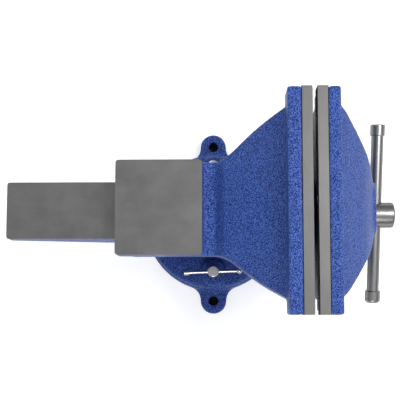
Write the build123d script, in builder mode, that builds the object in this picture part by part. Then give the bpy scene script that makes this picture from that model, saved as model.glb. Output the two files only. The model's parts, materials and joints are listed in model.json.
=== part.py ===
from build123d import *
import math
import os

os.makedirs("parts", exist_ok=True)

# Bench vise, millimetres. X runs along the spindle towards the handle, Y across the jaws, Z up.
# The origin is on the swivel axis, in the plane of the bench.

# ---- driving dimensions ----
JAW_WIDTH = 254.0  # ten-inch jaws
JAW_TOP = 246.0
JAW_GAP = 4.2  # opening between the plates at rest
FIXED_PLATE_FACE = 112.0  # X of the fixed gripping face
PLATE_HEIGHT = 20.0
PLATE_THICK = 13.0
BEAM_THICK = 14.0  # moving jaw
FIXED_BEAM_THICK = 15.6
BEAM_DEPTH = 36.0  # height of the beam behind each plate
JAW_ROOT_WIDTH = 220.0  # width of the castings where they meet the beams
CASTING_GAP = 5.0  # between the two castings, below the plates
SHOULDER_Z = 196.0  # the castings keep their full width down to here
NECK_Z = 136.0  # and are down to the neck from here
NECK_WIDTH = 92.0
LEDGE_WIDTH = 246.0  # the ledge that each plate stands on
LEDGE_HEIGHT = 16.0

AXIS_Z = 100.0  # spindle axis above the bench
SPINDLE_D = 26.0
NUT_X = 52.0  # middle of the main nut

SLIDE_WIDTH = 69.2
SLIDE_TOP = 153.0
SLIDE_BOTTOM = 85.0
SLIDE_REAR = -250.5
SLIDE_REAR_DEPTH = 24.0
SLIDE_TAPER_END = -75.0  # X where the slide reaches its full depth
SLIDE_CORNER = 1.2
SLIDE_WALL = 8.0
SLIDE_WEB = 12.0
SLIDE_PLAY = 0.4  # running gap round the slide

HOUSING_WIDTH = 113.0
HOUSING_TOP = 166.0
HOUSING_BOTTOM = 72.0
HOUSING_REAR = -98.0
ANVIL_X0 = -115.0
ANVIL_X1 = -12.4
ANVIL_WIDTH = 113.0
ANVIL_TOP = 183.0
ANVIL_CORNER_R = 2.5

BASE_D = 185.0
BASE_HEIGHT = 28.0
BASE_RIM_R = 6.0
LUG_HEIGHT = 15.0
LUG_R = 17.5
LUG_EDGE_R = 2.5
BOLT_CIRCLE_D = 212.2
BOLT_HOLE_D = 13.0
LUG_BLEND_R = 19.0

SLOT_R = 69.2  # middle of the circular T-slot, and of the lock screws
SLOT_NECK = 13.0
SLOT_WIDE = 23.0
SLOT_FLOOR_Z = 7.0
SLOT_LIP_Z = 18.0
SPIGOT_D = 64.0
SPIGOT_DEPTH = 6.0
SPIGOT_CLEAR = 0.5  # under the spigot
PIVOT_D = 20.0
PIVOT_HEAD_SPACE_D = 44.0

FLANGE_R = 90.0
FLANGE_TOP = 42.0
FLANGE_RIM_R = 4.0
PAD_TOP = 48.0
PAD_R = 17.0
SWIVEL_PLAY = 0.1  # between the swivel faces

LOCK_D = 12.0
LOCK_HEAD_D = 15.0
LOCK_HEAD_TOP = 73.0
LOCK_BAR_Z = 65.0
LOCK_BAR_D = 4.5
LOCK_BAR_LENGTH = 76.0
LOCK_BAR_TURN = 2.0  # degrees
LOCK_SWING_R = 41.0  # room for a lock bar to swing

HANDLE_X = 205.0
HANDLE_D = 15.0
HANDLE_BAR_LENGTH = 195.8  # between the caps
HANDLE_SLIP = 1.6  # how far the bar has slid towards its high end
HANDLE_TILT = 10.0  # degrees, the +Y end is the high one
HANDLE_LEAN = 1.0  # degrees, the bar is loose in its hole and leans towards +X at its high end
UPPER_CAP_LENGTH = 14.2
LOWER_CAP_LENGTH = 15.4
UPPER_CAP_ROUND = 1.5
LOWER_CAP_ROUND = 4.0
CAP_CHAMFER = 0.8
UPPER_CAP_D = 18.0
LOWER_CAP_D = 19.0
TENON_D = 10.0
TENON_LENGTH = 10.0
TENON_GAP = 0.5  # past the end of a tenon

NOSE_FACE = 194.6
HEAD_D = 32.0
HEAD_END = 227.7
HEAD_EDGE_R = 3.0
HEAD_HOLE_D = 16.0
COLLAR_D = 38.0
COLLAR_THICK = 5.0
RECESS_D = 42.0
THRUST_THICK = 2.0
THRUST_PLAY = 0.1

PLATE_SCREW_D = 8.0
PLATE_SCREW_DEPTH = 11.0  # tapped into the beam
PLATE_HEAD_D = 13.0
PLATE_HEAD_SINK = 9.5
SCREW_PITCH = 90.0
SOCKET_R = 3.5  # hexagon socket, to its corners
SOCKET_DEPTH = 4.5
SCREW_TIP_GAP = 2.0  # between a screw and the bottom of its hole
PLATE_EDGE = 0.8
HEAD_PLAY = 0.3  # radial play of a screw head in its counterbore

NUT_LENGTH = 46.0
NUT_WIDTH = 46.0
NUT_TOP = 124.0
NUT_STEM_D = 36.0
NUT_STEM_Z = 56.0
NUT_WEB_Z = 48.0  # underside of the web that the nut bolt pulls on
NUT_BOLT_D = 12.0
NUT_BOLT_SPACE_D = 26.0  # counterbore for its head
NUT_CHAMFER = 6.0
NUT_BOLT_REACH = 20.0  # tapped into the stem
WASHER_THICK = 2.5

PIVOT_RECESS = 12.0  # depth of the recess for the pivot bolt's head
PIVOT_WASHER_THICK = 3.0
PIVOT_TOP = 60.0

SPINDLE_END = -180.0
SPINDLE_POINT = 3.0  # chamfer at its end
SPRING_BACK = 151.0
SPRING_WIRE_D = 3.0
SPRING_R = 17.0
SPRING_PITCH = 3.9
SPRING_TURNS = 2.5
SPRING_COLLAR_THICK = 4.0
PIN_D = 5.0
PIN_LENGTH = 36.0
PIN_CHAMFER = 0.6
SPRING_GAP = 0.05  # between the spring and the wall it pushes on

SHOE_LENGTH = 32.0
SHOE_BOTTOM = 9.0
SHOE_PLAY = 0.8
SHOE_KEY_PLAY = 0.5
SHOE_KEY_LENGTH = 26.0
SHOE_KEY_HEIGHT = 4.0
LOCK_TIP_D = 10.0  # threaded end, in the shoe
LOCK_TIP_DROP = 0.5  # how far it stands out of the shoe
LOCK_SHOULDER_Z = 22.5
LOCK_HEAD_ROUND = 1.5
LOCK_CAP_D = 7.4
LOCK_CAP_LENGTH = 6.5
LOCK_BALL_D = 8.0
LOCK_TENON_D = 3.0
LOCK_TENON_LENGTH = 4.0

FIT = 0.05  # radial running clearance of every shaft
HOLE_PLAY = 0.5  # radial play of a bolt in a clearance hole

# ---- worked-out places ----
HALF_JAW = JAW_WIDTH / 2
HALF_ROOT = JAW_ROOT_WIDTH / 2
HALF_HOUSING = HOUSING_WIDTH / 2
HALF_SLIDE = SLIDE_WIDTH / 2
PLATE_BOTTOM = JAW_TOP - PLATE_HEIGHT
PLATE_MIDDLE = JAW_TOP - PLATE_HEIGHT / 2
MOVING_PLATE_FACE = FIXED_PLATE_FACE + JAW_GAP
FIXED_SEAT = FIXED_PLATE_FACE - PLATE_THICK
MOVING_SEAT = MOVING_PLATE_FACE + PLATE_THICK
FIXED_FRONT = FIXED_PLATE_FACE - (CASTING_GAP - JAW_GAP) / 2
MOVING_BACK = FIXED_FRONT + CASTING_GAP
RECESS_DEPTH = COLLAR_THICK + THRUST_THICK + THRUST_PLAY
SWIVEL_FACE = BASE_HEIGHT + SWIVEL_PLAY
HALF_BAR = HANDLE_BAR_LENGTH / 2
NUT_FLOOR = SLIDE_BOTTOM - SLIDE_PLAY
PIN_X = SPRING_BACK - SPRING_COLLAR_THICK - PIN_D / 2
TILT = math.radians(HANDLE_TILT)
LEAN = math.radians(HANDLE_LEAN)
HOLE_DIR = Vector(0, math.cos(TILT), math.sin(TILT))
HANDLE_DIR = Vector(math.sin(LEAN), math.cos(LEAN) * math.cos(TILT), math.cos(LEAN) * math.sin(TILT))


def save(part, label):
    part.label = label
    export_step(part, f"parts/{label}.step")


def shield(half_root, top, half_neck):
    """The outline of a jaw casting from the front: wide shoulders above a narrow neck."""
    with BuildLine() as outline:
        Polyline(
            (-half_root, top),
            (half_root, top),
            (half_root, SHOULDER_Z),
            (half_neck, NECK_Z),
            (half_neck, HOUSING_BOTTOM),
            (-half_neck, HOUSING_BOTTOM),
            (-half_neck, NECK_Z),
            (-half_root, SHOULDER_Z),
            close=True,
        )
    return outline.line


# ---- swivel base ----
with BuildPart() as swivel_base:
    # four bolting lugs, each blended into the round by two concave arcs
    with BuildSketch() as lug_plan:
        Circle(BASE_D / 2)
        with PolarLocations(BOLT_CIRCLE_D / 2, 4):
            Circle(LUG_R)
        with PolarLocations(BOLT_CIRCLE_D / 4, 4):
            Rectangle(BOLT_CIRCLE_D / 2, 2 * LUG_R)
        inner_corners = lug_plan.vertices().filter_by(
            lambda v: abs(math.hypot(v.X, v.Y) - BASE_D / 2) < 0.01
        )
        fillet(inner_corners, radius=LUG_BLEND_R)
    extrude(amount=LUG_HEIGHT)
    fillet(swivel_base.faces().sort_by(Axis.Z)[-1].outer_wire().edges(), radius=LUG_EDGE_R)
    # the round part, with a rounded rim
    with BuildSketch():
        Circle(BASE_D / 2)
    extrude(amount=BASE_HEIGHT)
    rim = swivel_base.edges().filter_by(GeomType.CIRCLE).sort_by(Axis.Z)[-1]
    fillet(rim, radius=BASE_RIM_R)
    with PolarLocations(BOLT_CIRCLE_D / 2, 4):
        with Locations((0, 0, LUG_HEIGHT)):
            Hole(BOLT_HOLE_D / 2)
    # circular T-slot, with one round entry for the clamp shoes
    with BuildSketch(Plane.XY.offset(SLOT_LIP_Z)):
        Circle(SLOT_R + SLOT_NECK / 2)
        Circle(SLOT_R - SLOT_NECK / 2, mode=Mode.SUBTRACT)
        with Locations((-SLOT_R, 0)):
            Circle(SLOT_WIDE / 2)
    extrude(amount=BASE_HEIGHT, mode=Mode.SUBTRACT)
    with BuildSketch(Plane.XY.offset(SLOT_FLOOR_Z)):
        Circle(SLOT_R + SLOT_WIDE / 2)
        Circle(SLOT_R - SLOT_WIDE / 2, mode=Mode.SUBTRACT)
    extrude(amount=SLOT_LIP_Z - SLOT_FLOOR_Z, mode=Mode.SUBTRACT)
    # recess for the spigot, bore for the pivot bolt and counterbore for its head
    with Locations((0, 0, BASE_HEIGHT)):
        Hole(SPIGOT_D / 2 + FIT, depth=SPIGOT_DEPTH + SPIGOT_CLEAR)
    with BuildSketch():
        Circle(PIVOT_D / 2 + FIT)
    extrude(amount=BASE_HEIGHT, mode=Mode.SUBTRACT)
    with BuildSketch():
        Circle(PIVOT_HEAD_SPACE_D / 2)
    extrude(amount=PIVOT_RECESS, mode=Mode.SUBTRACT)
save(swivel_base.part, "swivel_base")

# ---- fixed jaw casting: flange, column, housing, anvil and fixed jaw ----
FAN_ROOT = FIXED_SEAT - FIXED_BEAM_THICK
FAN_TOP_Z = 226.0
HOUSING_FLAT_END = 3.0
FAN_STEP_END = 13.0
FAN_STEP_Z = 178.0
FAN_OUTLINE = ((30.0, 71.0), (54.0, 90.5))  # plan points between the housing and the beam
COLUMN_X = 12.0  # middle of the column
COLUMN_WIDTH = 92.0
COLUMN_LENGTH = 128.0
COLUMN_CORNER_R = 22.0
REAR_SLOPE = 24.0  # the housing's lower rear edge is cut off at 45 degrees

with BuildPart() as fixed_jaw_body:
    # the fan: a plan outline, a side outline and a front outline, crossed
    with BuildSketch(Plane.XY.offset(HOUSING_BOTTOM)):
        with BuildLine():
            upper = Spline(
                (0, HALF_HOUSING),
                *FAN_OUTLINE,
                (FAN_ROOT + 2, HALF_ROOT),
                tangents=((1, 0), (1.0, 0.55)),
            )
            across = Line(upper @ 1, (FIXED_FRONT, HALF_ROOT))
            Line(across @ 1, (FIXED_FRONT, 0))
            Line((FIXED_FRONT, 0), (HOUSING_REAR, 0))
            Line((HOUSING_REAR, 0), (HOUSING_REAR, HALF_HOUSING))
            Line((HOUSING_REAR, HALF_HOUSING), upper @ 0)
        make_face()
        mirror(about=Plane.XZ)
    extrude(amount=JAW_TOP - HOUSING_BOTTOM)
    with BuildSketch(Plane.XZ):
        with BuildLine():
            Polyline(
                (HOUSING_REAR + REAR_SLOPE, HOUSING_BOTTOM),
                (HOUSING_REAR, HOUSING_BOTTOM + REAR_SLOPE),
                (HOUSING_REAR, HOUSING_TOP),
                (HOUSING_FLAT_END, HOUSING_TOP),
                (FAN_STEP_END, FAN_STEP_Z),
                (FAN_ROOT, FAN_TOP_Z),
                (FIXED_FRONT, FAN_TOP_Z),
                (FIXED_FRONT, HOUSING_BOTTOM),
                close=True,
            )
        make_face()
    extrude(amount=HALF_JAW, both=True, mode=Mode.INTERSECT)
    with BuildSketch(Plane.YZ):
        add(shield(HALF_ROOT, FAN_TOP_Z, NECK_WIDTH / 2))
        make_face()
    extrude(amount=JAW_WIDTH, both=True, mode=Mode.INTERSECT)
    # beam across the back of the jaw plate, and the ledge under the plate
    with Locations((FIXED_SEAT - FIXED_BEAM_THICK / 2, 0, JAW_TOP - BEAM_DEPTH / 2)):
        Box(FIXED_BEAM_THICK, JAW_WIDTH, BEAM_DEPTH)
    with Locations(((FIXED_SEAT + FIXED_FRONT) / 2, 0, PLATE_BOTTOM - LEDGE_HEIGHT / 2)):
        Box(FIXED_FRONT - FIXED_SEAT, LEDGE_WIDTH, LEDGE_HEIGHT)
    # anvil block over the slide
    with Locations(((ANVIL_X0 + ANVIL_X1) / 2, 0, (ANVIL_TOP + SLIDE_TOP) / 2)):
        Box(ANVIL_X1 - ANVIL_X0, ANVIL_WIDTH, ANVIL_TOP - SLIDE_TOP)
    anvil_corners = fixed_jaw_body.edges().filter_by(Axis.Z).filter_by_position(
        Axis.Z, HOUSING_TOP - 1, ANVIL_TOP - 3
    )
    fillet(anvil_corners, radius=ANVIL_CORNER_R)
    # column on a round flange
    with BuildSketch(Plane.XY.offset(FLANGE_TOP)):
        with Locations((COLUMN_X, 0)):
            RectangleRounded(COLUMN_LENGTH, COLUMN_WIDTH, COLUMN_CORNER_R)
    extrude(amount=HOUSING_BOTTOM - FLANGE_TOP)
    # the column is scalloped where the lock bars swing
    with Locations((0, SLOT_R, PAD_TOP), (0, -SLOT_R, PAD_TOP)):
        Cylinder(
            LOCK_SWING_R,
            HOUSING_BOTTOM - PAD_TOP,
            align=(Align.CENTER, Align.CENTER, Align.MIN),
            mode=Mode.SUBTRACT,
        )
    with BuildSketch(Plane.XY.offset(SWIVEL_FACE)):
        Circle(FLANGE_R)
    extrude(amount=FLANGE_TOP - SWIVEL_FACE)
    flange_rim = fixed_jaw_body.edges().filter_by(GeomType.CIRCLE).filter_by(
        lambda e: abs(e.radius - FLANGE_R) < 0.01
    )
    fillet(flange_rim.sort_by(Axis.Z)[-1], radius=FLANGE_RIM_R)
    with BuildSketch(Plane.XY.offset(FLANGE_TOP)):
        with Locations((0, SLOT_R), (0, -SLOT_R)):
            Circle(PAD_R)
    extrude(amount=PAD_TOP - FLANGE_TOP)
    # spigot that turns in the base
    with BuildSketch(Plane.XY.offset(SWIVEL_FACE)):
        Circle(SPIGOT_D / 2)
    extrude(amount=-SPIGOT_DEPTH)
    # way through for the slide
    with BuildSketch(Plane.YZ.offset(ANVIL_X0)):
        with Locations((0, (SLIDE_TOP + SLIDE_BOTTOM) / 2)):
            Rectangle(
                SLIDE_WIDTH + 2 * SLIDE_PLAY,
                SLIDE_TOP - SLIDE_BOTTOM + 2 * SLIDE_PLAY,
            )
    extrude(amount=FIXED_FRONT - ANVIL_X0, mode=Mode.SUBTRACT)
    # holes: lock screws, pivot bolt, nut bolt with its counterbore
    with BuildSketch(Plane.XY.offset(SWIVEL_FACE - 1)):
        with Locations((0, SLOT_R), (0, -SLOT_R)):
            Circle(LOCK_D / 2 + FIT)
    extrude(amount=PAD_TOP - SWIVEL_FACE + 2, mode=Mode.SUBTRACT)
    with BuildSketch(Plane.XY.offset(SWIVEL_FACE - SPIGOT_DEPTH)):
        Circle(PIVOT_D / 2 + FIT)
    extrude(amount=PIVOT_TOP - SWIVEL_FACE + SPIGOT_DEPTH, mode=Mode.SUBTRACT)
    for radius, low, high in (
        (NUT_BOLT_SPACE_D / 2, SWIVEL_FACE, NUT_WEB_Z),
        (NUT_BOLT_D / 2 + HOLE_PLAY, NUT_WEB_Z, NUT_STEM_Z),
        (NUT_STEM_D / 2 + FIT, NUT_STEM_Z, NUT_FLOOR),
    ):
        with BuildSketch(Plane.XY.offset(low)):
            with Locations((NUT_X, 0)):
                Circle(radius)
        extrude(amount=high - low, mode=Mode.SUBTRACT)
    # tapped holes for the plate screws
    with BuildSketch(Plane.YZ.offset(FIXED_SEAT)):
        with GridLocations(SCREW_PITCH, 1, 3, 1):
            with Locations((0, PLATE_MIDDLE)):
                Circle(PLATE_SCREW_D / 2 + FIT)
    extrude(amount=-PLATE_SCREW_DEPTH, mode=Mode.SUBTRACT)
save(fixed_jaw_body.part, "fixed_jaw_body")

# ---- moving jaw casting: moving jaw, nose and slide ----
HUMP_TOP_Z = 238.0  # where the hump meets the beam
HUMP_INSET = 2.0  # how far the hump reaches into the beam
HUMP_PROFILE = (  # side points, beam to front
    (150.0, 231.0),
    (158.0, 221.5),
    (167.0, 211.0),
    (176.5, 199.0),
    (184.0, 185.5),
)
HUMP_OUTLINE = (  # plan points, beam to front
    (149.0, 103.5),
    (158.0, 92.0),
    (166.0, 81.0),
    (173.5, 69.5),
    (180.5, 59.0),
    (186.5, 46.5),
)
HUMP_FRONT = 190.5
HUMP_FRONT_Z = 170.5
HUMP_FRONT_WIDTH = 60.0
NOSE_WIDTH = 66.0
NOSE_TOP = 170.0
NOSE_BOTTOM = 64.0
NOSE_CORNER_R = 14.0
NOSE_EDGE_R = 3.0
CAVITY_BOTTOM = NOSE_BOTTOM - 2.0
CAVITY_FRONT = 164.0  # inner face of the front wall

with BuildPart() as moving_jaw:
    # the hump: a plan outline, a side outline and a front outline, crossed
    with BuildSketch(Plane.XY.offset(HOUSING_BOTTOM)):
        with BuildLine():
            start = Line((MOVING_BACK, HALF_ROOT), (MOVING_SEAT + BEAM_THICK - HUMP_INSET, HALF_ROOT))
            curve = Spline(
                start @ 1,
                *HUMP_OUTLINE,
                (HUMP_FRONT, HUMP_FRONT_WIDTH / 2),
                tangents=((1, -1), (0.2, -1)),
            )
            Line(curve @ 1, (HUMP_FRONT, 0))
            Line((HUMP_FRONT, 0), (MOVING_BACK, 0))
            Line((MOVING_BACK, 0), start @ 0)
        make_face()
        mirror(about=Plane.XZ)
    extrude(amount=JAW_TOP - HOUSING_BOTTOM)
    with BuildSketch(Plane.XZ):
        with BuildLine():
            Polyline(
                (HUMP_FRONT, HUMP_FRONT_Z),
                (HUMP_FRONT, HOUSING_BOTTOM),
                (MOVING_BACK, HOUSING_BOTTOM),
                (MOVING_BACK, FAN_TOP_Z),
                (MOVING_SEAT + HUMP_INSET, FAN_TOP_Z),
                (MOVING_SEAT + HUMP_INSET, HUMP_TOP_Z),
                (MOVING_SEAT + BEAM_THICK, HUMP_TOP_Z),
            )
            Spline(
                (MOVING_SEAT + BEAM_THICK, HUMP_TOP_Z),
                *HUMP_PROFILE,
                (HUMP_FRONT, HUMP_FRONT_Z),
            )
        make_face()
    extrude(amount=HALF_JAW, both=True, mode=Mode.INTERSECT)
    with BuildSketch(Plane.YZ):
        add(shield(HALF_ROOT, HUMP_TOP_Z, NECK_WIDTH / 2 - 1))
        make_face()
    extrude(amount=JAW_WIDTH, both=True, mode=Mode.INTERSECT)
    # nose pad for the spindle
    with BuildSketch(Plane.YZ.offset(CAVITY_FRONT)):
        with Locations((0, (NOSE_TOP + NOSE_BOTTOM) / 2)):
            RectangleRounded(NOSE_WIDTH, NOSE_TOP - NOSE_BOTTOM, NOSE_CORNER_R)
    extrude(amount=NOSE_FACE - CAVITY_FRONT)
    fillet(moving_jaw.faces().sort_by(Axis.X)[-1].outer_wire().edges(), radius=NOSE_EDGE_R)
    # beam across the back of the jaw plate, and the ledge under the plate
    with Locations((MOVING_SEAT + BEAM_THICK / 2, 0, JAW_TOP - BEAM_DEPTH / 2)):
        Box(BEAM_THICK, JAW_WIDTH, BEAM_DEPTH)
    with Locations(((MOVING_SEAT + MOVING_BACK) / 2, 0, PLATE_BOTTOM - LEDGE_HEIGHT / 2)):
        Box(MOVING_SEAT - MOVING_BACK, LEDGE_WIDTH, LEDGE_HEIGHT)
    # the slide, whose underside rises towards the rear
    with BuildSketch(Plane.XZ):
        with BuildLine():
            Polyline(
                (SLIDE_REAR, SLIDE_TOP),
                (MOVING_BACK + 10, SLIDE_TOP),
                (MOVING_BACK + 10, SLIDE_BOTTOM),
                (SLIDE_TAPER_END, SLIDE_BOTTOM),
                (SLIDE_REAR, SLIDE_TOP - SLIDE_REAR_DEPTH),
                close=True,
            )
        make_face()
    extrude(amount=HALF_SLIDE, both=True)
    rear_corners = moving_jaw.edges().filter_by(Axis.Z).sort_by(Axis.X)[:2]
    chamfer(rear_corners, length=SLIDE_CORNER)
    # the slide is hollow and open below; the hollow runs into the jaw as far as its front wall
    with BuildSketch(Plane.YZ.offset(SLIDE_REAR - 1)):
        with Locations((0, (SLIDE_TOP - SLIDE_WEB + CAVITY_BOTTOM) / 2)):
            Rectangle(SLIDE_WIDTH - 2 * SLIDE_WALL, SLIDE_TOP - SLIDE_WEB - CAVITY_BOTTOM)
    extrude(amount=CAVITY_FRONT - SLIDE_REAR + 1, mode=Mode.SUBTRACT)
    # bore for the spindle and recess for its collar
    with BuildSketch(Plane.YZ.offset(CAVITY_FRONT - 1)):
        with Locations((0, AXIS_Z)):
            Circle(SPINDLE_D / 2 + FIT)
    extrude(amount=NOSE_FACE - CAVITY_FRONT + 1, mode=Mode.SUBTRACT)
    with BuildSketch(Plane.YZ.offset(NOSE_FACE)):
        with Locations((0, AXIS_Z)):
            Circle(RECESS_D / 2)
    extrude(amount=-RECESS_DEPTH, mode=Mode.SUBTRACT)
    # tapped holes for the plate screws
    with BuildSketch(Plane.YZ.offset(MOVING_SEAT)):
        with GridLocations(SCREW_PITCH, 1, 3, 1):
            with Locations((0, PLATE_MIDDLE)):
                Circle(PLATE_SCREW_D / 2 + FIT)
    extrude(amount=PLATE_SCREW_DEPTH, mode=Mode.SUBTRACT)
save(moving_jaw.part, "moving_jaw")


# ---- jaw plates and their screws ----
def jaw_plate(seat, face, outward):
    """A hardened plate from its seat to its gripping face, counterbored for three screws."""
    with BuildPart() as plate:
        with Locations(((seat + face) / 2, 0, PLATE_MIDDLE)):
            Box(abs(face - seat), JAW_WIDTH, PLATE_HEIGHT)
        chamfer(plate.edges().filter_by(Axis.Y).group_by(Axis.Z)[-1], length=PLATE_EDGE)
        with BuildSketch(Plane.YZ.offset(seat)):
            with GridLocations(SCREW_PITCH, 1, 3, 1):
                with Locations((0, PLATE_MIDDLE)):
                    Circle(PLATE_SCREW_D / 2 + HOLE_PLAY)
        extrude(amount=outward * PLATE_THICK, mode=Mode.SUBTRACT)
        with BuildSketch(Plane.YZ.offset(face)):
            with GridLocations(SCREW_PITCH, 1, 3, 1):
                with Locations((0, PLATE_MIDDLE)):
                    Circle(PLATE_HEAD_D / 2 + HEAD_PLAY)
        extrude(amount=-outward * PLATE_HEAD_SINK, mode=Mode.SUBTRACT)
    return plate.part


def plate_screws(seat, face, outward):
    """Three socket-head screws, sunk under the gripping face and threaded into the beam."""
    with BuildPart() as screws:
        with BuildSketch(Plane.YZ.offset(face - outward * PLATE_HEAD_SINK)):
            with GridLocations(SCREW_PITCH, 1, 3, 1):
                with Locations((0, PLATE_MIDDLE)):
                    Circle(PLATE_HEAD_D / 2)
        extrude(amount=outward * PLATE_SCREW_D)
        with BuildSketch(Plane.YZ.offset(face - outward * PLATE_HEAD_SINK)):
            with GridLocations(SCREW_PITCH, 1, 3, 1):
                with Locations((0, PLATE_MIDDLE)):
                    Circle(PLATE_SCREW_D / 2)
        shank = PLATE_THICK - PLATE_HEAD_SINK + PLATE_SCREW_DEPTH - SCREW_TIP_GAP
        extrude(amount=-outward * shank)
        with BuildSketch(Plane.YZ.offset(face - outward * (PLATE_HEAD_SINK - PLATE_SCREW_D))):
            with GridLocations(SCREW_PITCH, 1, 3, 1):
                with Locations((0, PLATE_MIDDLE)):
                    RegularPolygon(SOCKET_R, 6)
        extrude(amount=-outward * SOCKET_DEPTH, mode=Mode.SUBTRACT)
    return screws.part


save(jaw_plate(FIXED_SEAT, FIXED_PLATE_FACE, 1), "fixed_jaw_plate")
save(plate_screws(FIXED_SEAT, FIXED_PLATE_FACE, 1), "fixed_plate_screws")
save(jaw_plate(MOVING_SEAT, MOVING_PLATE_FACE, -1), "moving_jaw_plate")
save(plate_screws(MOVING_SEAT, MOVING_PLATE_FACE, -1), "moving_plate_screws")

# ---- main nut, inside the hollow slide, with a stem through the floor of the housing ----
with BuildPart() as main_nut:
    with Locations((NUT_X, 0, (NUT_FLOOR + NUT_TOP) / 2)):
        Box(NUT_LENGTH, NUT_WIDTH, NUT_TOP - NUT_FLOOR)
    chamfer(main_nut.edges().filter_by(Axis.X).group_by(Axis.Z)[-1], length=NUT_CHAMFER)
    with BuildSketch(Plane.XY.offset(NUT_STEM_Z)):
        with Locations((NUT_X, 0)):
            Circle(NUT_STEM_D / 2)
    extrude(amount=NUT_FLOOR - NUT_STEM_Z)
    with BuildSketch(Plane.YZ.offset(NUT_X - NUT_LENGTH / 2)):
        with Locations((0, AXIS_Z)):
            Circle(SPINDLE_D / 2 + FIT)
    extrude(amount=NUT_LENGTH, mode=Mode.SUBTRACT)
    with BuildSketch(Plane.XY.offset(NUT_STEM_Z)):
        with Locations((NUT_X, 0)):
            Circle(NUT_BOLT_D / 2 + FIT)
    extrude(amount=NUT_BOLT_REACH, mode=Mode.SUBTRACT)
save(main_nut.part, "main_nut")


def hex_bolt(x, bearing_z, diameter, length, across_flats, head):
    """A hexagon-head bolt pointing up, its head under the height bearing_z."""
    with BuildPart() as bolt:
        with BuildSketch(Plane.XY.offset(bearing_z)):
            with Locations((x, 0)):
                RegularPolygon(across_flats / 2, 6, major_radius=False)
        extrude(amount=-head)
        with BuildSketch(Plane.XY.offset(bearing_z)):
            with Locations((x, 0)):
                Circle(diameter / 2)
        extrude(amount=length)
        chamfer(bolt.edges().sort_by(Axis.Z)[-1], length=1)
    return bolt.part


def washer(x, y, z, outer, inner, thick):
    """A flat washer standing on the height z."""
    with BuildPart() as ring:
        with BuildSketch(Plane.XY.offset(z)):
            with Locations((x, y)):
                Circle(outer / 2)
                Circle(inner / 2, mode=Mode.SUBTRACT)
        extrude(amount=thick)
    return ring.part


nut_bearing = NUT_WEB_Z - WASHER_THICK
nut_bolt_length = NUT_STEM_Z + NUT_BOLT_REACH - SCREW_TIP_GAP - nut_bearing
save(hex_bolt(NUT_X, nut_bearing, NUT_BOLT_D, nut_bolt_length, 18, 7.5), "nut_bolt")
save(washer(NUT_X, 0, nut_bearing, 24, NUT_BOLT_D + 2 * HOLE_PLAY, WASHER_THICK), "nut_bolt_washer")

pivot_bearing = PIVOT_RECESS - SWIVEL_PLAY - PIVOT_WASHER_THICK
pivot_length = PIVOT_TOP - SCREW_TIP_GAP - pivot_bearing
save(hex_bolt(0, pivot_bearing, PIVOT_D, pivot_length, 30, 8), "pivot_bolt")
save(washer(0, 0, pivot_bearing, 40, PIVOT_D + 2 * FIT, PIVOT_WASHER_THICK), "pivot_washer")

# ---- spindle, with its collar, thrust washer, spring and pin ----
with BuildPart() as spindle:
    with BuildSketch(Plane.YZ.offset(SPINDLE_END)):
        with Locations((0, AXIS_Z)):
            Circle(SPINDLE_D / 2)
    extrude(amount=NOSE_FACE - SPINDLE_END)
    chamfer(spindle.edges().sort_by(Axis.X)[0], length=SPINDLE_POINT)
    with BuildSketch(Plane.YZ.offset(NOSE_FACE)):
        with Locations((0, AXIS_Z)):
            Circle(COLLAR_D / 2)
    extrude(amount=-COLLAR_THICK)
    with BuildSketch(Plane.YZ.offset(NOSE_FACE)):
        with Locations((0, AXIS_Z)):
            Circle(HEAD_D / 2)
    extrude(amount=HEAD_END - NOSE_FACE)
    fillet(spindle.edges().sort_by(Axis.X)[-1], radius=HEAD_EDGE_R)
    with BuildSketch(Plane(origin=(HANDLE_X, 0, AXIS_Z), z_dir=HOLE_DIR)):
        Circle(HEAD_HOLE_D / 2)
    extrude(amount=HEAD_D, both=True, mode=Mode.SUBTRACT)
    with BuildSketch(Plane(origin=(PIN_X, 0, AXIS_Z), z_dir=(0, 1, 0))):
        Circle(PIN_D / 2)
    extrude(amount=SPINDLE_D, both=True, mode=Mode.SUBTRACT)
save(spindle.part, "spindle")


def spindle_ring(back, outer, inner, thick):
    """A ring on the spindle axis, from X = back towards the handle."""
    with BuildPart() as ring:
        with BuildSketch(Plane.YZ.offset(back)):
            with Locations((0, AXIS_Z)):
                Circle(outer / 2)
                Circle(inner / 2, mode=Mode.SUBTRACT)
        extrude(amount=thick)
    return ring.part


recess_floor = NOSE_FACE - RECESS_DEPTH
save(spindle_ring(recess_floor, RECESS_D - 1, SPINDLE_D + 1, THRUST_THICK), "thrust_washer")
collar_back = SPRING_BACK - SPRING_COLLAR_THICK
collar_bore = SPINDLE_D + 2 * FIT
save(spindle_ring(collar_back, COLLAR_D, collar_bore, SPRING_COLLAR_THICK), "spring_collar")

with BuildPart() as thrust_spring:
    with BuildLine():
        coil = Helix(
            pitch=SPRING_PITCH,
            height=SPRING_TURNS * SPRING_PITCH,
            radius=SPRING_R,
            center=(SPRING_BACK + SPRING_WIRE_D / 2 + SPRING_GAP, 0, AXIS_Z),
            direction=(1, 0, 0),
        )
    with BuildSketch(Plane(origin=coil @ 0, z_dir=coil % 0)):
        Circle(SPRING_WIRE_D / 2)
    sweep(path=coil, is_frenet=True)
save(thrust_spring.part, "thrust_spring")

with BuildPart() as retaining_pin:
    with BuildSketch(Plane(origin=(PIN_X, -PIN_LENGTH / 2, AXIS_Z), z_dir=(0, 1, 0))):
        Circle(PIN_D / 2)
    extrude(amount=PIN_LENGTH)
    chamfer(retaining_pin.edges().group_by(Axis.Y)[0], length=PIN_CHAMFER)
    chamfer(retaining_pin.edges().group_by(Axis.Y)[-1], length=PIN_CHAMFER)
save(retaining_pin.part, "retaining_pin")


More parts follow.
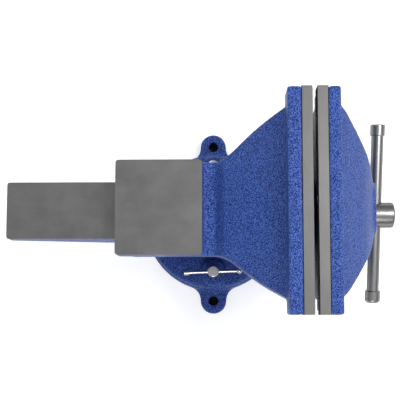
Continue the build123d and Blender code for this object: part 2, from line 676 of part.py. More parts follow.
# ---- sliding handle and its two end caps ----
def handle_plane(along):
    """A plane across the handle, at a distance from the spindle axis."""
    centre = Vector(HANDLE_X, 0, AXIS_Z) + HANDLE_DIR * (along + HANDLE_SLIP)
    return Plane(origin=centre, z_dir=HANDLE_DIR)


with BuildPart() as handle_bar:
    with BuildSketch(handle_plane(-HALF_BAR)):
        Circle(HANDLE_D / 2)
    extrude(amount=HANDLE_BAR_LENGTH)
    with BuildSketch(handle_plane(-HALF_BAR - TENON_LENGTH)):
        Circle(TENON_D / 2)
    extrude(amount=HANDLE_BAR_LENGTH + 2 * TENON_LENGTH)
save(handle_bar.part, "handle_bar")


def handle_cap(side, diameter, length, rounding):
    """An end cap over the tenon; side is 1 for the high end and -1 for the low one."""
    with BuildPart() as cap:
        with BuildSketch(handle_plane(side * HALF_BAR)):
            Circle(diameter / 2)
        extrude(amount=side * length)
        ends = cap.edges().filter_by(GeomType.CIRCLE)
        far = ends.sort_by(lambda e: side * (e.arc_center.Y))[-1]
        near = ends.sort_by(lambda e: side * (e.arc_center.Y))[0]
        fillet(far, radius=rounding)
        chamfer(near, length=CAP_CHAMFER)
        with BuildSketch(handle_plane(side * HALF_BAR)):
            Circle(TENON_D / 2 + FIT)
        extrude(amount=side * (TENON_LENGTH + TENON_GAP), mode=Mode.SUBTRACT)
    return cap.part


save(handle_cap(1, UPPER_CAP_D, UPPER_CAP_LENGTH, UPPER_CAP_ROUND), "handle_cap_upper")
save(handle_cap(-1, LOWER_CAP_D, LOWER_CAP_LENGTH, LOWER_CAP_ROUND), "handle_cap_lower")


# ---- the two swivel locks: clamp shoe, screw, washer, sliding bar and its end cap ----
def clamp_shoe(y):
    """A curved block in the T-slot, with a key up in the neck and a hole for the lock screw."""
    with BuildPart() as shoe:
        with BuildSketch(Plane.XY.offset(SHOE_BOTTOM)):
            Circle(SLOT_R + SLOT_WIDE / 2 - SHOE_PLAY)
            Circle(SLOT_R - SLOT_WIDE / 2 + SHOE_PLAY, mode=Mode.SUBTRACT)
            with Locations((0, y)):
                Rectangle(SHOE_LENGTH, 2 * SLOT_WIDE, mode=Mode.INTERSECT)
        extrude(amount=SLOT_LIP_Z - SWIVEL_PLAY - SHOE_BOTTOM)
        with BuildSketch(Plane.XY.offset(SLOT_LIP_Z - SWIVEL_PLAY)):
            Circle(SLOT_R + SLOT_NECK / 2 - SHOE_KEY_PLAY)
            Circle(SLOT_R - SLOT_NECK / 2 + SHOE_KEY_PLAY, mode=Mode.SUBTRACT)
            with Locations((0, y)):
                Rectangle(SHOE_KEY_LENGTH, 2 * SLOT_WIDE, mode=Mode.INTERSECT)
        extrude(amount=SHOE_KEY_HEIGHT)
        with BuildSketch(Plane.XY.offset(SHOE_BOTTOM)):
            with Locations((0, y)):
                Circle(LOCK_TIP_D / 2 + FIT)
        extrude(amount=BASE_HEIGHT, mode=Mode.SUBTRACT)
    return shoe.part


def lock_bar_plane(y, along):
    """A plane across a lock bar, at a distance from its screw's axis."""
    turn = math.radians(LOCK_BAR_TURN)
    direction = Vector(math.cos(turn), math.sin(turn), 0)
    return Plane(origin=Vector(0, y, LOCK_BAR_Z) + direction * along, z_dir=direction)


def lock_screw(y):
    """A screw with a tall round head that stands on the flange, and a cross hole for its bar."""
    with BuildPart() as screw:
        with BuildSketch(Plane.XY.offset(SHOE_BOTTOM - LOCK_TIP_DROP)):
            with Locations((0, y)):
                Circle(LOCK_TIP_D / 2)
        extrude(amount=LOCK_SHOULDER_Z - SHOE_BOTTOM + LOCK_TIP_DROP)
        with BuildSketch(Plane.XY.offset(LOCK_SHOULDER_Z)):
            with Locations((0, y)):
                Circle(LOCK_D / 2)
        extrude(amount=PAD_TOP - LOCK_SHOULDER_Z)
        with BuildSketch(Plane.XY.offset(PAD_TOP)):
            with Locations((0, y)):
                Circle(LOCK_HEAD_D / 2)
        extrude(amount=LOCK_HEAD_TOP - PAD_TOP)
        fillet(screw.edges().sort_by(Axis.Z)[-1], radius=LOCK_HEAD_ROUND)
        with BuildSketch(lock_bar_plane(y, 0)):
            Circle(LOCK_BAR_D / 2 + FIT)
        extrude(amount=LOCK_HEAD_D, both=True, mode=Mode.SUBTRACT)
    return screw.part


def lock_bar(y):
    """A thin bar with a ball at one end and a tenon for a cap at the other."""
    half = LOCK_BAR_LENGTH / 2
    with BuildPart() as bar:
        with BuildSketch(lock_bar_plane(y, LOCK_CAP_LENGTH - half)):
            Circle(LOCK_BAR_D / 2)
        extrude(amount=LOCK_BAR_LENGTH - LOCK_CAP_LENGTH - LOCK_BALL_D / 2)
        with BuildSketch(lock_bar_plane(y, LOCK_CAP_LENGTH - half)):
            Circle(LOCK_TENON_D / 2)
        extrude(amount=-LOCK_TENON_LENGTH)
        with Locations(lock_bar_plane(y, half - LOCK_BALL_D / 2)):
            Sphere(LOCK_BALL_D / 2)
    return bar.part


def lock_bar_cap(y):
    """The small cylinder pressed on the bar's other end."""
    half = LOCK_BAR_LENGTH / 2
    with BuildPart() as cap:
        with BuildSketch(lock_bar_plane(y, LOCK_CAP_LENGTH - half)):
            Circle(LOCK_CAP_D / 2)
        extrude(amount=-LOCK_CAP_LENGTH)
        with BuildSketch(lock_bar_plane(y, LOCK_CAP_LENGTH - half)):
            Circle(LOCK_TENON_D / 2 + FIT / 2)
        extrude(amount=-LOCK_TENON_LENGTH - HEAD_PLAY, mode=Mode.SUBTRACT)
    return cap.part


for side, y in (("left", -SLOT_R), ("right", SLOT_R)):
    save(clamp_shoe(y), f"clamp_shoe_{side}")
    save(lock_screw(y), f"lock_screw_{side}")
    save(lock_bar(y), f"lock_bar_{side}")
    save(lock_bar_cap(y), f"lock_bar_cap_{side}")
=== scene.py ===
# %% [markdown]
# # A bench vise, finished around its CAD frame
# The sizes, the fits and the way everything moves are already settled in the CAD model. This lesson
# only gives it its looks: soft cast edges, crisp ground faces, a real screw thread, a cut grip on the
# jaw plates, and a surface for every piece that answers to light the way the real one does.

# %% Load the frame
import json
import math

import bmesh
import bpy
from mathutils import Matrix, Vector

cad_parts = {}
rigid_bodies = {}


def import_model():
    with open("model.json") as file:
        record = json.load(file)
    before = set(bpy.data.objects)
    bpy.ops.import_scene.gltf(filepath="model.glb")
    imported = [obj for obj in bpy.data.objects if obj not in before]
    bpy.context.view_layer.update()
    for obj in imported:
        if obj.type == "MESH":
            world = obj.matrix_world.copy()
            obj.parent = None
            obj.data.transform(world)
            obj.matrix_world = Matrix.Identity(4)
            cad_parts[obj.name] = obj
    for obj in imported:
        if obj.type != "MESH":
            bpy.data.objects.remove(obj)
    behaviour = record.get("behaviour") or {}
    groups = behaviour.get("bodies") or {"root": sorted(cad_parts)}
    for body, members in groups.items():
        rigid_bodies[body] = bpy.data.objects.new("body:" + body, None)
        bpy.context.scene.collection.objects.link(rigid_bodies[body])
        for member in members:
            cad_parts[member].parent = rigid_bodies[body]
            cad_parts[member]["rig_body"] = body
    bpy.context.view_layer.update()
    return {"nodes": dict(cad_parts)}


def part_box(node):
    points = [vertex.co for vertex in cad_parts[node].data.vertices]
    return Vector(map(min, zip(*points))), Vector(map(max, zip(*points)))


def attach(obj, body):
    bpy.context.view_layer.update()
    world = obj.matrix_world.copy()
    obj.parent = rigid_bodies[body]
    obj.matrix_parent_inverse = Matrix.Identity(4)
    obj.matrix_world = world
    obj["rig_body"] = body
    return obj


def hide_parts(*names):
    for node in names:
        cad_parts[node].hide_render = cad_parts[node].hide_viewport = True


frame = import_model()

MM = 0.001
CASTING_GAP = 5 * MM  # between the two jaw castings, at rest
MILLED = 0.6 * MM  # taken off each casting where they face each other

# %% [markdown]
# ## The camera comes first
# The vise is seen from almost straight above, from a little over a metre and slightly to the -Y side.
# Knowing the view early shows which faces deserve the most work.

# %% Camera
camera_data = bpy.data.cameras.new("camera")
camera_data.lens = 75.32
camera_data.shift_y = 0.1125
camera = bpy.data.objects.new("camera", camera_data)
camera.location = (0.0059, -0.1342, 1.1568)
camera.rotation_mode = "ZYX"
camera.rotation_euler = (math.radians(5.225), math.radians(1.213), math.radians(-0.102))
bpy.context.scene.collection.objects.link(camera)
bpy.context.scene.camera = camera
print("camera height above the bench:", round(camera.location.z, 3), "m")

# %% [markdown]
# ## Sums on sockets
# A procedural material is mostly arithmetic. Written with nodes by hand it is hard to read, so one
# small class wraps a socket and lets Python's own operators add the Math nodes. Every other node
# comes from one method that takes the node's type, its settings and what goes into its sockets.


# %% Terms and graphs
class Term:
    """One value in a node tree. Sums on terms add Math nodes."""

    def __init__(self, graph, made, output):
        self.graph = graph
        self.made = made
        self.output = output

    @property
    def socket(self):
        return self.made.outputs[self.output]

    def __getitem__(self, output):
        """Another output of the same node."""
        return Term(self.graph, self.made, output)

    def __add__(self, other):
        return self.graph.math("ADD", self, other)

    def __sub__(self, other):
        return self.graph.math("SUBTRACT", self, other)

    def __mul__(self, other):
        return self.graph.math("MULTIPLY", self, other)

    def __truediv__(self, other):
        return self.graph.math("DIVIDE", self, other)

    def __rsub__(self, other):
        return self.graph.math("SUBTRACT", other, self)

    __radd__ = __add__
    __rmul__ = __mul__

    def steep(self, low, high):
        """0 below low, 1 above high, and a straight rise between them."""
        return self.graph.math("MULTIPLY", self - low, 1 / (high - low), clamp=True)


class Graph:
    """A node tree, and the one method that adds a node to it."""

    def __init__(self, tree):
        self.tree = tree

    def node(self, kind, settings=None, values=None, output=0):
        made = self.tree.nodes.new(kind)
        for name, value in (settings or {}).items():
            setattr(made, name, value)
        for name, value in (values or {}).items():
            if isinstance(value, Term):
                self.tree.links.new(value.socket, made.inputs[name])
            else:
                made.inputs[name].default_value = value
        return Term(self, made, output)

    def math(self, operation, *values, clamp=False):
        """One Math node."""
        settings = {"operation": operation, "use_clamp": clamp}
        return self.node("ShaderNodeMath", settings, dict(enumerate(values)))

    def blend(self, factor, first, second):
        """A colour between two colours."""
        return self.node("ShaderNodeMix", {"data_type": "RGBA"}, {0: factor, 6: first, 7: second}, 2)


def new_material(name, **constants):
    """An empty material with one Principled shader, whose constant sockets are set here."""
    material = bpy.data.materials.new(name)
    material.use_nodes = True
    material.node_tree.nodes.clear()
    graph = Graph(material.node_tree)
    shader = graph.node("ShaderNodeBsdfPrincipled")
    for socket, value in constants.items():
        shader.made.inputs[socket.replace("_", " ")].default_value = value
    graph.node("ShaderNodeOutputMaterial", None, {"Surface": shader})
    return material, graph, shader


def feed(graph, shader, **terms):
    """Links terms to the shader's sockets that change over the surface."""
    for socket, term in terms.items():
        graph.tree.links.new(term.socket, shader.made.inputs[socket.replace("_", " ")])


def coordinates(graph, scale=(1, 1, 1)):
    """Object coordinates, stretched along the axes."""
    place = graph.node("ShaderNodeTexCoord", None, None, "Object")
    return graph.node("ShaderNodeMapping", None, {"Vector": place, "Scale": scale})


def noise(graph, place, scale, detail=2.0, roughness=0.5):
    """Soft noise between 0 and 1."""
    values = {"Vector": place, "Scale": scale, "Detail": detail, "Roughness": roughness}
    return graph.node("ShaderNodeTexNoise", None, values)


print("node helpers ready")

# %% [markdown]
# ## Light
# Soft studio light: a large lamp high on the handle's side, weaker ones at the front and the back,
# and a sky that is bright overhead and dimmer near the horizon. A flat face then shows the bright
# part, while a round bar shows both, which gives it the dark edges that make it look like metal.


# %% Lamps and sky
def soft_lamp(name, place, aim, size, power):
    """A square area lamp at a place, turned towards a point."""
    data = bpy.data.lights.new(name, "AREA")
    data.size = size
    data.energy = power
    lamp = bpy.data.objects.new(name, data)
    lamp.location = place
    lamp.rotation_euler = (Vector(aim) - Vector(place)).to_track_quat("-Z", "Y").to_euler()
    bpy.context.scene.collection.objects.link(lamp)
    return lamp


soft_lamp("key_lamp", (0.88, 0.25, 1.5), (0, 0, 0.1), 0.6, 19)
soft_lamp("front_lamp", (0.15, -1.35, 1.2), (0, 0, 0.1), 0.6, 10)
soft_lamp("back_lamp", (-0.6, 1.2, 1.3), (0, 0, 0.1), 0.9, 8)

world = bpy.data.worlds.new("sky")
world.use_nodes = True
sky = Graph(world.node_tree)
up = sky.node("ShaderNodeSeparateXYZ", None, {0: sky.node("ShaderNodeTexCoord")})["Z"]
sky_colour = sky.blend(up.steep(0.05, 0.75), (0.34, 0.35, 0.37, 1), (0.95, 0.97, 1.0, 1))
background = world.node_tree.nodes["Background"]
background.inputs["Strength"].default_value = 0.7
world.node_tree.links.new(sky_colour.socket, background.inputs["Color"])
bpy.context.scene.world = world
bpy.context.scene.view_settings.view_transform = "Standard"
print("lamps:", [item.name for item in bpy.data.lights])

# %% [markdown]
# ## The paint
# The castings wear a thick, glossy blue paint with a hammered skin: shallow dimples about two
# millimetres across that break every reflection into speckles. Smooth Voronoi cells make the dimples,
# a finer noise makes them uneven, and a broad noise gives the sand-cast waviness under the paint. The
# colour is a deep blue, varied by the broad noise. Lighter blue speckles on the peaks are painted
# glints that stand in for the lamps caught by the dimples, and the colour turns a little lighter
# along every convex edge.


# %% Hammered paint
def hammered_paint():
    material, graph, shader = new_material(
        "hammered_blue_paint", Metallic=0.0, Coat_Roughness=0.15, Specular_IOR_Level=0.16
    )
    place = coordinates(graph)
    warp = noise(graph, place, 170, 2)
    cells = graph.node(
        "ShaderNodeTexVoronoi",
        {"feature": "SMOOTH_F1"},
        {"Vector": place, "Scale": 640, "Smoothness": 0.3},
    )
    fine = noise(graph, place, 900, 1)
    broad = noise(graph, place, 28, 2)
    height = cells * 0.8 + fine * 0.6 + warp * 0.4 + broad * 1.6
    # painted glints: lighter blue speckles on the dimple peaks stand in for the lamps' reflections
    painted_glints = (fine * 0.9 + cells * 0.25).steep(0.50, 0.66)
    rim = graph.node("ShaderNodeNewGeometry", None, None, "Pointiness")
    deep = graph.blend(broad.steep(0.35, 0.65), (0.001, 0.012, 0.098, 1), (0.001, 0.017, 0.128, 1))
    colour = graph.blend(painted_glints, deep, (0.060, 0.120, 0.40, 1))
    colour = graph.blend(rim.steep(0.54, 0.66) * 0.5, colour, (0.10, 0.19, 0.50, 1))
    bump = graph.node(
        "ShaderNodeBump", None, {"Strength": 1.0, "Distance": 0.0011, "Height": height}
    )
    feed(
        graph,
        shader,
        Base_Color=colour,
        Roughness=0.30 + fine * 0.22,
        Coat_Weight=warp * 0.08,
        Normal=bump,
    )
    return material


paint = hammered_paint()
print("made", paint.name)

# %% [markdown]
# ## Steel, from ground to plated
# All bare metal here is the same idea with other numbers: a metal whose roughness is streaked by
# the tool that cut it. Grinding leaves long hair-fine lines one way, turning leaves rings round the
# axis, and plating leaves almost nothing. So one function takes the direction of the lines as a
# stretch of the noise, and how deep and how dull they are.


# %% Steel finishes
def steel(name, tone, lines, dull, depth, mottle=0.10, tint=(1.0, 0.985, 0.965)):
    """Bare metal. lines stretches the tool marks: a large number is across them."""
    material, graph, shader = new_material(name, Metallic=1.0, Specular_Tint=(0.35, 0.35, 0.36, 1))
    marks = noise(graph, coordinates(graph, lines), 1.0, 3, 0.6)
    clouds = noise(graph, coordinates(graph), 42, 3)
    specks = noise(graph, coordinates(graph), 700, 2)
    shade = tone * (1 - mottle) + (clouds * 1.4 + marks * 0.6) * (tone * mottle)
    colour = graph.blend(shade, (0, 0, 0, 1), (*tint, 1))
    bump = graph.node(
        "ShaderNodeBump",
        None,
        {"Strength": 0.5, "Distance": depth, "Height": marks + specks * 0.3},
    )
    rough = dull * 0.75 + marks * (dull * 0.35) + clouds * (dull * 0.2)
    feed(graph, shader, Base_Color=colour, Roughness=rough, Normal=bump)
    return material


ground_steel = steel("ground_steel", 0.165, (25, 1100, 60), 0.42, 0.00006, 0.28)
plate_steel = steel("plate_steel", 0.15, (2600, 40, 60), 0.38, 0.00006)
turned_steel = steel("turned_steel", 0.22, (1800, 60, 60), 0.28, 0.000005)
thread_steel = steel("thread_steel", 0.34, (500, 900, 900), 0.36, 0.00002)
satin_plate = steel("satin_plate", 0.27, (500, 90, 500), 0.30, 0.000003, 0.08)
zinc_plate = steel("zinc_plate", 0.50, (300, 300, 300), 0.22, 0.00001, 0.12, (1.0, 0.97, 0.92))
black_steel = steel("black_steel", 0.10, (400, 400, 400), 0.45, 0.00004)
spring_steel = steel("spring_steel", 0.38, (600, 600, 600), 0.35, 0.00003)
machined_iron = steel("machined_iron", 0.25, (900, 900, 300), 0.5, 0.00006)
nut_bronze = steel("nut_bronze", 0.55, (2200, 80, 80), 0.32, 0.00003, 0.12, (1.0, 0.74, 0.40))
print("made", len(bpy.data.materials), "materials so far")

# %% [markdown]
# ## Helpers that turn CAD meshes into finished pieces
# A CAD node arrives as loose triangles, so a copy is welded first. The copy can then be worked on
# freely, because the CAD node itself is never touched: the finished piece stands in for it.


# %% Mesh helpers
def welded_copy(node, name):
    """A new object with a node's mesh, its loose triangles welded together."""
    mesh = frame["nodes"][node].data.copy()
    mesh.materials.clear()
    piece = bpy.data.objects.new(name, mesh)
    bpy.context.scene.collection.objects.link(piece)
    work = bmesh.new()
    work.from_mesh(mesh)
    bmesh.ops.remove_doubles(work, verts=work.verts, dist=0.00001)
    work.to_mesh(mesh)
    work.free()
    return piece


def settle(piece):
    """Turns a piece with modifiers into a plain mesh and removes the modifiers."""
    tree = bpy.context.evaluated_depsgraph_get()
    mesh = bpy.data.meshes.new_from_object(piece.evaluated_get(tree))
    piece.modifiers.clear()
    piece.data = mesh
    return piece


def smooth_shade(mesh, angle=32):
    """Smooth shading that stays sharp where faces meet at more than an angle."""
    work = bmesh.new()
    work.from_mesh(mesh)
    for face in work.faces:
        face.smooth = True
    for edge in work.edges:
        edge.smooth = len(edge.link_faces) == 2 and edge.calc_face_angle(0) < math.radians(angle)
    work.to_mesh(mesh)
    work.free()


def stand_for(piece, node):
    """The piece rides where its node rides, and hides it."""
    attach(piece, frame["nodes"][node]["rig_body"])
    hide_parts(node)
    triangles = sum(len(face.vertices) - 2 for face in piece.data.polygons)
    print(piece.name, "stands for", node, "with", triangles, "triangles")


# %% [markdown]
# ## Cast iron has no sharp edges
# Molten iron fills a sand mould whose corners are all rounded, so a casting's edges and inner
# corners are soft, while a face that was ground afterwards ends in a crisp line. To get both, the
# casting is first grown a little where it will be ground, rebuilt on a fine even grid and smoothed,
# which rounds every edge and fills every inner corner. Then the ground faces are sliced off flat,
# just as the grinder does it, and the fresh faces get bare steel.


# %% Casting skin
def grow_face(mesh, height, growth, keep):
    """Moves the vertices of a level face up or down, where keep says so."""
    for vertex in mesh.vertices:
        if abs(vertex.co.z - height) < 0.0001 and keep(vertex.co):
            vertex.co.z += growth


def press_flat(mesh, height, upward, keep, slot):
    """Cuts a piece along a level, and lays what stands beyond the level flat on it."""
    work = bmesh.new()
    work.from_mesh(mesh)
    geometry = set()
    for face in work.faces:
        if keep(face.calc_center_median()):
            geometry.update((face, *face.verts, *face.edges))
    side = 1 if upward else -1
    bmesh.ops.bisect_plane(
        work, geom=list(geometry), plane_co=(0, 0, height), plane_no=(0, 0, 1), dist=0.00001
    )
    for vertex in work.verts:
        if (vertex.co.z - height) * side > 0 and keep(vertex.co):
            vertex.co.z = height
    bmesh.ops.remove_doubles(work, verts=work.verts, dist=0.00002)
    bmesh.ops.dissolve_degenerate(work, edges=work.edges, dist=0.00002)
    for face in work.faces:
        level = max(abs(vertex.co.z - height) for vertex in face.verts) < 0.00002
        if level and face.normal.z * side > 0.9 and keep(face.calc_center_median()):
            face.material_index = slot
    work.to_mesh(mesh)
    work.free()


def mill_back(mesh, place, side, keep):
    """Lays what stands past a place on the X axis flat on it. side is 1 for past towards +X."""
    for vertex in mesh.vertices:
        if (vertex.co.x - place) * side > 0 and keep(vertex.co):
            vertex.co.x = place


def square_corners(mesh, half_width, low, high, zone):
    """Clears the inner corners of a passage along X, which the softening has filled."""
    for vertex in mesh.vertices:
        spot = vertex.co
        beside = half_width - abs(spot.y)
        below = spot.z - low
        above = high - spot.z
        if 0 < beside < zone and min(below, above) > 0 and min(below, above) < zone:
            if beside < min(below, above):
                spot.y = math.copysign(half_width, spot.y)
            else:
                spot.z = low if below < above else high


def cast_skin(node, name, voxel, rounds, grown=()):
    """A cast copy of a node. grown lists (height, upward, keep) for its ground faces."""
    piece = welded_copy(node, name)
    low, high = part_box(node)
    for height, upward, keep in grown:
        grow_face(piece.data, height, 4 * MM if upward else -4 * MM, keep)
    grid = piece.modifiers.new("grid", "REMESH")
    grid.mode = "VOXEL"
    grid.voxel_size = voxel
    soft = piece.modifiers.new("soft", "SMOOTH")
    soft.factor = 0.5
    soft.iterations = rounds
    settle(piece)
    piece.data.materials.append(paint)
    piece.data.materials.append(ground_steel)
    for height, upward, keep in grown:
        press_flat(piece.data, height, upward, keep, 1)
    for vertex in piece.data.vertices:
        for axis in range(3):
            vertex.co[axis] = min(max(vertex.co[axis], low[axis]), high[axis])
    smooth_shade(piece.data)
    return piece


# %% [markdown]
# ### The fixed jaw casting
# It carries the round swivel flange, the column, the tunnel for the slide, the anvil and the fan
# that spreads out to the jaw. Its anvil face is ground, and the face towards the other jaw is
# milled back a little, so that the two castings stay clear when the jaws close. The tunnel's inner
# corners are cut square again, because the slide fills them.

# %% Fixed jaw
anvil_z = 183 * MM
anvil_end = -8 * MM
fixed_low, fixed_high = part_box("fixed_jaw_body")


def on_anvil(point):
    return point.x < anvil_end and point.z > anvil_z - 8 * MM


fixed_casting = cast_skin(
    "fixed_jaw_body", "fixed_jaw_casting", 1.9 * MM, 5, [(anvil_z, True, on_anvil)]
)
tunnel_half, tunnel_floor, tunnel_roof = 35 * MM, 84.6 * MM, 153.4 * MM
square_corners(fixed_casting.data, tunnel_half, tunnel_floor, tunnel_roof, 5 * MM)
mill_back(fixed_casting.data, fixed_high.x - MILLED, 1, lambda point: True)
stand_for(fixed_casting, "fixed_jaw_body")

# %% [markdown]
# ### The moving jaw casting
# The jaw, the hump behind it and the long hollow slide are one casting. The top of the slide is
# ground where it runs in the tunnel; its sides keep their paint.

# %% Moving jaw
slide_z = 153 * MM
slide_half = 36 * MM
jaw_back = 114 * MM
slide_middle = 119 * MM
slide_reach = 35 * MM


def on_slide(point):
    above = point.z > slide_z - 6 * MM and point.z < slide_z + 8 * MM
    return above and point.x < jaw_back and abs(point.y) < slide_half


moving_casting = cast_skin(
    "moving_jaw", "moving_jaw_casting", 1.9 * MM, 5, [(slide_z, True, on_slide)]
)
jaw_face = fixed_high.x + CASTING_GAP


def on_jaw_back(point):
    beside = abs(point.y) > slide_half - 0.6 * MM
    return point.x > fixed_high.x - 4 * MM and (beside or abs(point.z - slide_middle) > slide_reach)


mill_back(moving_casting.data, jaw_face + MILLED, -1, on_jaw_back)
stand_for(moving_casting, "moving_jaw")

# %% [markdown]
# ### The swivel base
# A low round casting with four bolting lugs. Its underside is machined flat for the bench.


# %% Swivel base
def on_foot(point):
    return point.z < 3 * MM


base_casting = cast_skin(
    "swivel_base", "swivel_base_casting", 1.5 * MM, 5, [(0.0, False, on_foot)]
)
stand_for(base_casting, "swivel_base")

# %% [markdown]
# ## Geometry Nodes for what follows a rule
# The spindle's thread and the teeth of the jaw plates follow a rule exactly, so a node tree makes
# them: the rule is written once, its sizes are inputs, and nothing is placed by hand. The same
# Graph class builds these trees. Each one ends by giving its faces their material.


# %% Geometry tree helpers
def geometry_graph(name, **sizes):
    """A geometry tree with one number input for each size."""
    tree = bpy.data.node_groups.new(name, "GeometryNodeTree")
    tree.interface.new_socket("Geometry", in_out="INPUT", socket_type="NodeSocketGeometry")
    for size in sizes:
        tree.interface.new_socket(size, in_out="INPUT", socket_type="NodeSocketFloat")
    tree.interface.new_socket("Geometry", in_out="OUTPUT", socket_type="NodeSocketGeometry")
    graph = Graph(tree)
    return graph, graph.node("NodeGroupInput")


def close_tree(graph, geometry, material):
    """The tree's end: real geometry, with its material."""
    real = graph.node("GeometryNodeRealizeInstances", None, {0: geometry})
    finished = graph.node("GeometryNodeSetMaterial", None, {"Geometry": real, "Material": material})
    graph.node("NodeGroupOutput", None, {0: finished})


def grown_mesh(name, tree, **sizes):
    """Runs a geometry tree with its sizes set, and returns the plain mesh that it makes."""
    seed = bpy.data.objects.new(name, bpy.data.meshes.new(name))
    bpy.context.scene.collection.objects.link(seed)
    modifier = seed.modifiers.new("rule", "NODES")
    modifier.node_group = tree
    for item in tree.interface.items_tree:
        if item.in_out == "INPUT" and item.name in sizes:
            modifier[item.identifier] = float(sizes[item.name])
    settle(seed)
    made = [material for material in seed.data.materials if material]
    seed.data.materials.clear()
    seed.data.materials.append(made[0])
    for face in seed.data.polygons:
        face.material_index = 0
    return seed


def join_into(piece, other, slot):
    """Adds another object's mesh to a piece, under one of its materials, and removes the other."""
    work = bmesh.new()
    work.from_mesh(piece.data)
    start = len(work.faces)
    work.from_mesh(other.data)
    work.faces.ensure_lookup_table()
    for face in work.faces[start:]:
        face.material_index = slot
    work.to_mesh(piece.data)
    work.free()
    bpy.data.objects.remove(other)


print("geometry helpers ready")

# %% [markdown]
# ### The thread
# A trapezoid thread has a flat crest, a flat root and two slopes in every pitch. A plain grid becomes
# that thread when its rows are wound along the helix: row after row gets the place along the axis
# and the radius of the next corner of the profile, and every point is moved on by its share of the
# pitch as it goes round. The ends are held at the shaft's ends, so the thread runs out cleanly.


# %% Thread rule
def thread_tree(material):
    graph, sizes = geometry_graph("screw_thread", Start=0, End=0, Pitch=0, Crest=0, Root=0, Axis=0)
    start, end, pitch = sizes["Start"], sizes["End"], sizes["Pitch"]
    around = 48  # points in a turn
    turns = graph.math("CEIL", (end - start) / pitch) + 2
    rows = turns * 4
    grid = graph.node(
        "GeometryNodeMeshGrid",
        None,
        {"Size X": rows - 1, "Size Y": float(around), "Vertices X": rows, "Vertices Y": around + 1},
    )
    place = graph.node("ShaderNodeSeparateXYZ", None, {0: graph.node("GeometryNodeInputPosition")})
    row = graph.math("ROUND", place["X"] + (rows - 1) / 2)
    share = (place["Y"] + around / 2) / around
    turn = graph.math("FLOOR", row / 4)
    corner = row - turn * 4
    after_crest = graph.math("GREATER_THAN", corner, 0.5)
    in_root = graph.math("GREATER_THAN", corner, 1.5)
    after_root = graph.math("GREATER_THAN", corner, 2.5)
    flat, slope = 0.37, 0.13  # shares of the pitch: crest and root are each flat, then a slope
    step = after_crest * flat + in_root * slope + after_root * flat
    along = start + (turn + step + share - 1) * pitch
    held = graph.math("MINIMUM", graph.math("MAXIMUM", along, start), end)
    bare = sizes["Crest"] - in_root * (sizes["Crest"] - sizes["Root"])
    inside = graph.math("MINIMUM", held - start, end - held) + sizes["Root"]
    radius = graph.math("MINIMUM", bare, inside)
    angle = share * (2 * math.pi)
    spot = graph.node(
        "ShaderNodeCombineXYZ",
        None,
        {
            "X": held,
            "Y": radius * graph.math("SINE", angle),
            "Z": radius * graph.math("COSINE", angle) + sizes["Axis"],
        },
    )
    wound = graph.node("GeometryNodeSetPosition", None, {"Geometry": grid, "Position": spot})
    merged = graph.node(
        "GeometryNodeMergeByDistance", None, {"Geometry": wound, "Distance": 0.00001}
    )
    close_tree(graph, merged, material)
    return graph.tree


spindle_low, spindle_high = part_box("spindle")
pin_low, pin_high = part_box("retaining_pin")
thread_end = pin_low.x - 4 * MM
spindle_axis = (spindle_low.z + spindle_high.z) / 2
thread_pitch = 5 * MM
crest_radius = 13 * MM
root_radius = 10.25 * MM

threaded = grown_mesh(
    "threaded_spindle",
    thread_tree(thread_steel),
    Start=spindle_low.x,
    End=thread_end,
    Pitch=thread_pitch,
    Crest=crest_radius,
    Root=root_radius,
    Axis=spindle_axis,
)
print("thread:", len(threaded.data.vertices), "points")

# %% [markdown]
# ### The rest of the spindle
# The plain end, the collar and the head are the CAD node's own shape, cut off where the thread
# starts. The cut and the thread's two open ends are closed, so the piece is solid all round.


# %% Whole spindle
def cut_before(mesh, x):
    """Keeps what lies beyond a place on the X axis, and closes the cut."""
    work = bmesh.new()
    work.from_mesh(mesh)
    everything = [*work.verts, *work.edges, *work.faces]
    bmesh.ops.bisect_plane(
        work, geom=everything, plane_co=(x, 0, 0), plane_no=(-1, 0, 0), clear_outer=True
    )
    bmesh.ops.holes_fill(work, edges=[e for e in work.edges if e.is_boundary])
    work.to_mesh(mesh)
    work.free()


def close_holes(mesh):
    """Closes a mesh's open rims and turns its faces outwards."""
    work = bmesh.new()
    work.from_mesh(mesh)
    bmesh.ops.dissolve_degenerate(work, edges=work.edges, dist=0.000005)
    bmesh.ops.holes_fill(work, edges=[e for e in work.edges if e.is_boundary])
    bmesh.ops.recalc_face_normals(work, faces=work.faces)
    work.to_mesh(mesh)
    work.free()


close_holes(threaded.data)
smooth_shade(threaded.data, 25)
plain_end = welded_copy("spindle", "plain_end")
plain_end.data.materials.append(turned_steel)
cut_before(plain_end.data, thread_end - 1 * MM)
smooth_shade(plain_end.data)
threaded.data.materials.append(turned_steel)
join_into(threaded, plain_end, 1)
stand_for(threaded, "spindle")

# %% [markdown]
# ### The jaw plates
# A jaw plate is hardened steel, ground on its edges, with rows of small pyramid teeth on the face
# that grips. The plate's body is the CAD copy with that face set back by the height of a tooth. The
# teeth are one four-sided cone on each point of a grid, and the points near a screw are left out,
# which leaves a flat ring round every screw head, as on the real plate.


